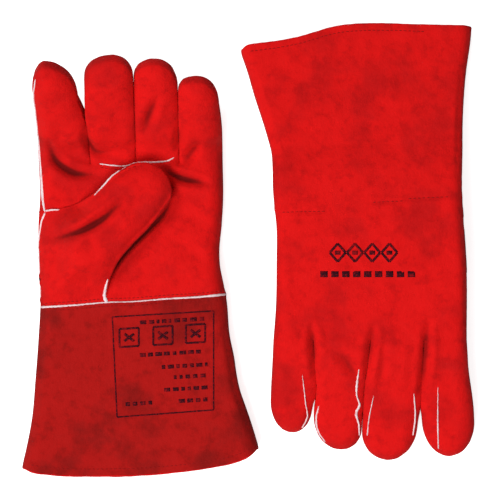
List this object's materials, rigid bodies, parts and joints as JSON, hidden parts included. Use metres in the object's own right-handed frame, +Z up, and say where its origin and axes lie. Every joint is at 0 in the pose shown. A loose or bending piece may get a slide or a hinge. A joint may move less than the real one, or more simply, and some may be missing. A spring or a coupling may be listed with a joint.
{
  "type": "welding gloves",
  "caption": "Pair of lined leather welding gauntlets with flared cuffs, folded wing thumbs and welted seams, laid side by side, one palm up and one palm down.",
  "frame": {"origin": "centre of the pair's footprint, on the surface that it lies on", "axes": "+Z up, away from the surface; +Y along the palm-up left glove towards its fingertips; +X from the left glove to the right glove"},
  "size_m": [0.3732, 0.3777, 0.083],
  "materials": {
    "hand_leather": "suede, matte",
    "cuff_leather": "suede, matte, darker",
    "welt_leather": "pale cut edge",
    "lining_fleece": "brushed fleece"
  },
  "bodies": {
    "left_hand": {"left_back_panel": "hand_leather", "left_hand_lining": "lining_fleece", "left_palm_panel": "hand_leather", "left_palm_seam_welts": "welt_leather", "left_side_welt": "welt_leather", "left_thumb_wing": "hand_leather"},
    "left_thumb": {"left_thumb_back": "hand_leather", "left_thumb_front": "hand_leather", "left_thumb_lining": "lining_fleece", "left_thumb_welt": "welt_leather"},
    "left_cuff": {"left_cuff_back": "hand_leather", "left_cuff_front": "cuff_leather", "left_cuff_hem": "hand_leather", "left_cuff_lining": "lining_fleece"},
    "left_index": {"left_index_back": "hand_leather", "left_index_front": "hand_leather", "left_index_lining": "lining_fleece", "left_index_welt": "welt_leather"},
    "left_middle": {"left_middle_back": "hand_leather", "left_middle_front": "hand_leather", "left_middle_lining": "lining_fleece", "left_middle_welt": "welt_leather"},
    "left_ring": {"left_ring_back": "hand_leather", "left_ring_front": "hand_leather", "left_ring_lining": "lining_fleece", "left_ring_welt": "welt_leather"},
    "left_little": {"left_little_back": "hand_leather", "left_little_front": "hand_leather", "left_little_lining": "lining_fleece", "left_little_welt": "welt_leather"},
    "right_hand": {"right_back_panel": "hand_leather", "right_hand_lining": "lining_fleece", "right_palm_panel": "hand_leather", "right_palm_seam_welts": "welt_leather", "right_side_welt": "welt_leather", "right_thumb_wing": "hand_leather"},
    "right_thumb": {"right_thumb_back": "hand_leather", "right_thumb_front": "hand_leather", "right_thumb_lining": "lining_fleece", "right_thumb_welt": "welt_leather"},
    "right_cuff": {"right_cuff_back": "hand_leather", "right_cuff_front": "cuff_leather", "right_cuff_hem": "hand_leather", "right_cuff_lining": "lining_fleece"},
    "right_index": {"right_index_back": "hand_leather", "right_index_front": "hand_leather", "right_index_lining": "lining_fleece", "right_index_welt": "welt_leather"},
    "right_middle": {"right_middle_back": "hand_leather", "right_middle_front": "hand_leather", "right_middle_lining": "lining_fleece", "right_middle_welt": "welt_leather"},
    "right_ring": {"right_ring_back": "hand_leather", "right_ring_front": "hand_leather", "right_ring_lining": "lining_fleece", "right_ring_welt": "welt_leather"},
    "right_little": {"right_little_back": "hand_leather", "right_little_front": "hand_leather", "right_little_lining": "lining_fleece", "right_little_welt": "welt_leather"}
  },
  "joints": [
    {"name": "right_glove_lift", "type": "slide", "parent": "left_hand", "child": "right_hand", "axis": [0, 0, 1], "range_m": [0, 0.25]},
    {"name": "left_index_curl", "type": "hinge", "parent": "left_hand", "child": "left_index", "pos_m": [-0.1525, 0.071, 0.028], "axis": [1, 0, 0], "range_deg": [-40, 35]},
    {"name": "left_middle_curl", "type": "hinge", "parent": "left_hand", "child": "left_middle", "pos_m": [-0.1115, 0.071, 0.028], "axis": [1, 0, 0], "range_deg": [-38, 37]},
    {"name": "left_ring_curl", "type": "hinge", "parent": "left_hand", "child": "left_ring", "pos_m": [-0.0745, 0.071, 0.028], "axis": [1, 0, 0], "range_deg": [-36, 39]},
    {"name": "left_little_curl", "type": "hinge", "parent": "left_hand", "child": "left_little", "pos_m": [-0.037, 0.071, 0.028], "axis": [1, 0, 0], "range_deg": [-38, 37]},
    {"name": "left_thumb_open", "type": "hinge", "parent": "left_hand", "child": "left_thumb", "pos_m": [-0.1315, -0.0055, 0.0504], "axis": [0.766, -0.6428, 0], "range_deg": [0, 60]},
    {"name": "left_wrist_bend", "type": "hinge", "parent": "left_hand", "child": "left_cuff", "pos_m": [-0.0955, -0.042, 0.028], "axis": [-1, 0, 0], "range_deg": [0, 45]},
    {"name": "right_index_curl", "type": "hinge", "parent": "right_hand", "child": "right_index", "pos_m": [0.1565, -0.0747, 0.0224], "axis": [1, 0, 0], "range_deg": [-16.2, 58.8]},
    {"name": "right_middle_curl", "type": "hinge", "parent": "right_hand", "child": "right_middle", "pos_m": [0.1155, -0.0747, 0.0224], "axis": [1, 0, 0], "range_deg": [-15.6, 59.4]},
    {"name": "right_ring_curl", "type": "hinge", "parent": "right_hand", "child": "right_ring", "pos_m": [0.0785, -0.0747, 0.0224], "axis": [1, 0, 0], "range_deg": [-17.1, 57.9]},
    {"name": "right_little_curl", "type": "hinge", "parent": "right_hand", "child": "right_little", "pos_m": [0.041, -0.0747, 0.0224], "axis": [1, 0, 0], "range_deg": [-21.1, 53.9]},
    {"name": "right_thumb_open", "type": "hinge", "parent": "right_hand", "child": "right_thumb", "pos_m": [0.1355, 0.0018, 0], "axis": [0.766, -0.6428, 0], "range_deg": [0, 60]},
    {"name": "right_wrist_bend", "type": "hinge", "parent": "right_hand", "child": "right_cuff", "pos_m": [0.0995, 0.0383, 0.0224], "axis": [-1, 0, 0], "range_deg": [-8.5, 36.5]}
  ]
}
